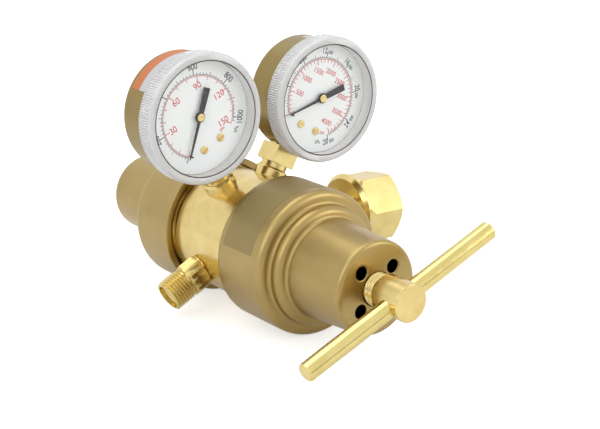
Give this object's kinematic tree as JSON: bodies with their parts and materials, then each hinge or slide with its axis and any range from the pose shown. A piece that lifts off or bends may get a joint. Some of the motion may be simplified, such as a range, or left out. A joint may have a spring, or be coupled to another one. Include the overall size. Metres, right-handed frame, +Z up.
{
  "type": "two-stage gas regulator",
  "caption": "Brass two-stage gas regulator with twin ribbed-lens gauges, stepped bonnets, T-bar adjusting screw, cylinder inlet nut and threaded outlet.",
  "frame": {"origin": "on the inlet axis, at the end of the straight part of the nipple nose, where its rounded tip starts", "axes": "+X along the inlet axis out of the nipple towards the cylinder valve; +Z up, halfway between the gauges; +Y along the body from the adjusting screw to the rear cap"},
  "size_m": [0.1392, 0.1988, 0.119],
  "materials": {
    "satin_gold": "satin",
    "bright_brass": "machined",
    "dark_brass": "machined",
    "steel": "bright",
    "rubber": "matte",
    "bronze": "satin",
    "dial_white": "satin",
    "needle_black": "satin",
    "clear_lens": "gloss"
  },
  "bodies": {
    "regulator": {"regulator_body": "bright_brass", "passage_plug": "dark_brass", "front_bonnet": "satin_gold", "rear_bonnet": "satin_gold", "front_diaphragm": "rubber", "rear_diaphragm": "rubber", "front_slip_ring": "bright_brass", "rear_slip_ring": "bright_brass", "adjusting_spring": "steel", "second_stage_nozzle": "dark_brass", "second_stage_spring": "steel", "first_stage_nozzle": "dark_brass", "first_stage_spring": "steel", "preset_spring": "steel", "preset_button": "dark_brass", "preset_screw": "steel", "inlet_nipple": "bright_brass", "inlet_filter": "bronze", "outlet_fitting": "dark_brass", "low_gauge_case": "satin_gold", "low_gauge_socket": "bright_brass", "low_bourdon_tube": "bronze", "low_movement_frame": "bright_brass", "low_hairspring": "steel", "low_dial": "dial_white", "low_dial_screws": "bright_brass", "low_lens": "clear_lens", "high_gauge_case": "satin_gold", "high_gauge_socket": "bright_brass", "high_bourdon_tube": "bronze", "high_movement_frame": "bright_brass", "high_hairspring": "steel", "high_dial": "dial_white", "high_dial_screws": "bright_brass", "high_lens": "clear_lens"},
    "spring_button": {"spring_button": "dark_brass"},
    "adjusting_screw": {"adjusting_screw": "bright_brass", "tee_bar": "bright_brass"},
    "second_stage_train": {"front_diaphragm_plate": "bright_brass", "front_clamp_nut": "dark_brass", "second_stage_valve": "steel", "second_stage_soft_seat": "rubber"},
    "first_stage_train": {"rear_diaphragm_plate": "bright_brass", "rear_clamp_nut": "dark_brass", "first_stage_valve": "steel", "first_stage_soft_seat": "rubber"},
    "inlet_nut": {"inlet_nut": "bright_brass"},
    "low_sector": {"low_sector_gear": "bright_brass"},
    "low_link": {"low_link": "steel"},
    "low_pointer": {"low_pinion": "steel", "low_pointer": "needle_black"},
    "high_sector": {"high_sector_gear": "bright_brass"},
    "high_link": {"high_link": "steel"},
    "high_pointer": {"high_pinion": "steel", "high_pointer": "needle_black"}
  },
  "joints": [
    {"name": "button_travel", "type": "slide", "parent": "regulator", "child": "spring_button", "axis": [0, 1, 0], "range_m": [-0.002, 0.005], "deforming": ["adjusting_spring"]},
    {"name": "screw_turn", "type": "hinge", "parent": "spring_button", "child": "adjusting_screw", "pos_m": [-0.0725, 0, 0], "axis": [0, 1, 0], "range_deg": [-342, 852]},
    {"name": "second_valve_lift", "type": "slide", "parent": "regulator", "child": "second_stage_train", "axis": [0, 1, 0], "range_m": [0, 0.0008], "stiffness_N_per_m": 2000, "deforming": ["front_diaphragm", "second_stage_spring"]},
    {"name": "first_valve_lift", "type": "slide", "parent": "regulator", "child": "first_stage_train", "axis": [0, -1, 0], "range_m": [0, 0.0008], "stiffness_N_per_m": 2000, "deforming": ["rear_diaphragm", "first_stage_spring", "preset_spring"]},
    {"name": "nut_turn", "type": "hinge", "parent": "regulator", "child": "inlet_nut", "pos_m": [0, 0, 0], "axis": [1, 0, 0], "continuous": true},
    {"name": "low_sector_swing", "type": "hinge", "parent": "regulator", "child": "low_sector", "pos_m": [-0.09412, 0, 0.0583], "axis": [0, 1, 0], "range_deg": [-45, 0], "deforming": ["low_bourdon_tube"]},
    {"name": "low_link_swing", "type": "hinge", "parent": "low_sector", "child": "low_link", "pos_m": [-0.08987, 0, 0.05567], "axis": [0, 1, 0], "range_deg": [-0.1, 45.1]},
    {"name": "low_pointer_turn", "type": "hinge", "parent": "regulator", "child": "low_pointer", "pos_m": [-0.10455, 0, 0.05952], "axis": [0, 1, 0], "range_deg": [-0.2, 270.2], "deforming": ["low_hairspring"]},
    {"name": "high_sector_swing", "type": "hinge", "parent": "regulator", "child": "high_sector", "pos_m": [-0.03573, 0, 0.05014], "axis": [0, 1, 0], "range_deg": [-45, 0], "deforming": ["high_bourdon_tube"]},
    {"name": "high_link_swing", "type": "hinge", "parent": "high_sector", "child": "high_link", "pos_m": [-0.03559, 0, 0.04514], "axis": [0, 1, 0], "range_deg": [-0.1, 45.1]},
    {"name": "high_pointer_turn", "type": "hinge", "parent": "regulator", "child": "high_pointer", "pos_m": [-0.04045, 0, 0.05952], "axis": [0, 1, 0], "range_deg": [-0.2, 270.2], "deforming": ["high_hairspring"]}
  ],
  "couplings": [
    {"joint": "screw_turn", "follows": "button_travel", "rad_per_m": 2968.4},
    {"joint": "low_pointer_turn", "follows": "low_sector_swing", "ratio": -6},
    {"joint": "low_link_swing", "follows": "low_sector_swing", "ratio": -1},
    {"joint": "high_pointer_turn", "follows": "high_sector_swing", "ratio": -6},
    {"joint": "high_link_swing", "follows": "high_sector_swing", "ratio": -1}
  ]
}
